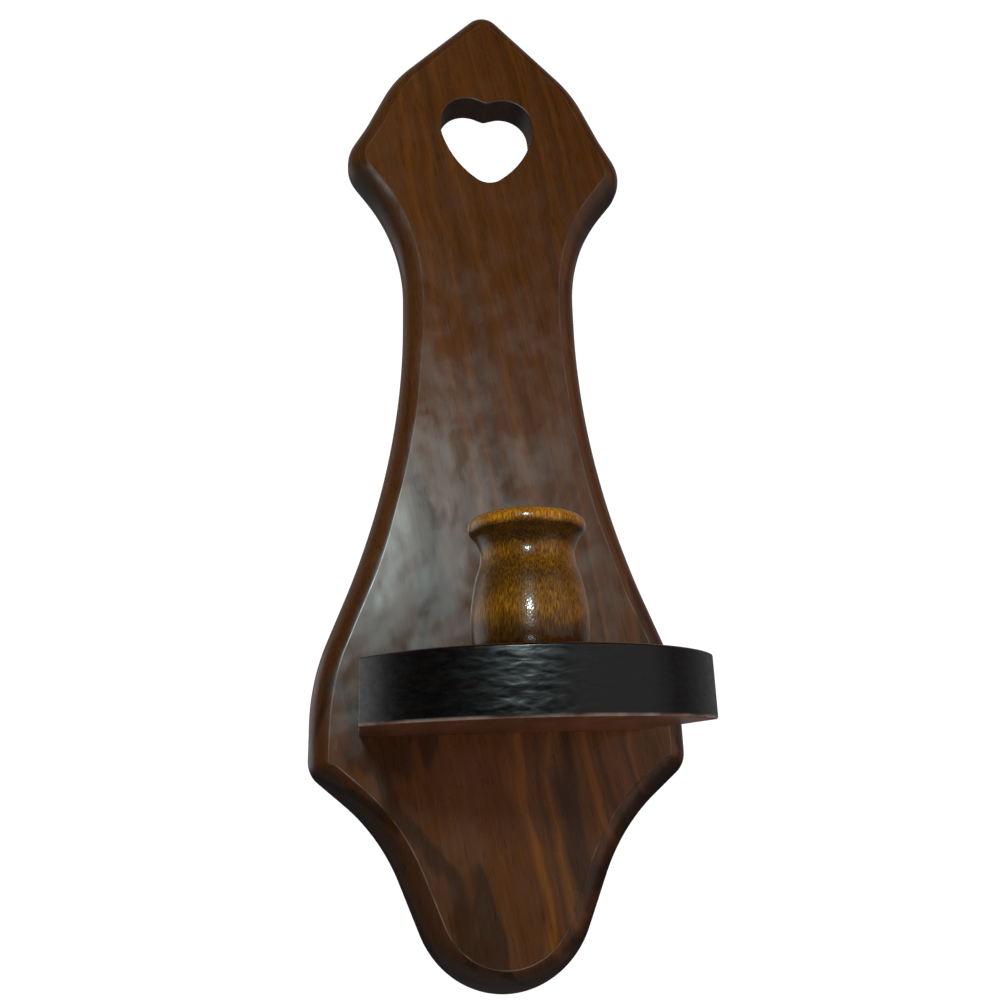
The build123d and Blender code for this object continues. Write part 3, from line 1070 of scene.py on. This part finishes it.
# %% [markdown]
# ## Plated steel
#
# The screws, the hanger and its nails are steel with a thin bright plating, zinc on the screws and
# brass on the hanger. Both are dulled by handling: tarnish darkens the plating, roughens it and
# pits it a little, so one noise drives all three.

# %% The metal material
TARNISH_SPACING = 2.5 * MM
TARNISH_DEPTH = 0.05 * MM
TARNISH_SHARE = 0.6
DULLED_BY = 0.2             # added to the roughness where tarnish is thick


def plated_steel(name, hex_value, roughness):
    """Plated steel, dulled by tarnish."""
    material, tree = fresh_material(name)
    place = add(tree, "ShaderNodeTexCoord").outputs["Object"]
    tarnish = add(
        tree, "ShaderNodeTexNoise", None, Vector=place,
        Scale=1 / TARNISH_SPACING, Detail=4.0, Roughness=0.65,
    ).outputs["Fac"]
    darkened = add(
        tree, "ShaderNodeValToRGB", {"stops": [(0.3, 0.65), (0.7, 1.0)]}, Fac=tarnish,
    ).outputs["Color"]
    colour = add(
        tree, "ShaderNodeMix", MULTIPLIED,
        Factor=TARNISH_SHARE, i6=linear(hex_value), i7=darkened,
    ).outputs[2]
    gloss = add(
        tree, "ShaderNodeValToRGB",
        {"stops": [(0.3, roughness + DULLED_BY), (0.7, roughness)]}, Fac=tarnish,
    ).outputs["Color"]
    grain = add(
        tree, "ShaderNodeBump", None, Height=tarnish, Strength=0.2, Distance=TARNISH_DEPTH,
    ).outputs[0]
    shader = add(
        tree, "ShaderNodeBsdfPrincipled", None, Base_Color=colour, Metallic=1.0,
        Roughness=gloss, Normal=grain,
    )
    add(tree, "ShaderNodeOutputMaterial", None, Surface=shader.outputs[0])
    return material


zinc = plated_steel("zinc_plated_steel", "d0cdc4", 0.3)
brassed = plated_steel("brassed_steel", "d2b674", 0.28)
print("metals made:", zinc.name, brassed.name)

# %% [markdown]
# ## Finishes for the measured pieces
#
# The board has its finish already. The shelf, the cup and the metal pieces are shown as they were
# measured, so each only has its material changed.

# %% Give every node its finish
FINISHES = {
    "backboard": board_finish,
    "shelf": shelf_finish,
    "candle_cup": cup_finish,
    "shelf_screw_left": zinc,
    "shelf_screw_right": zinc,
    "cup_screw": zinc,
    "sawtooth_hanger": brassed,
    "hanger_brad_left": brassed,
    "hanger_brad_right": brassed,
}
for node_name, finish in FINISHES.items():
    for slot in nodes[node_name].material_slots:
        slot.material = finish
    print(node_name, "->", finish.name)
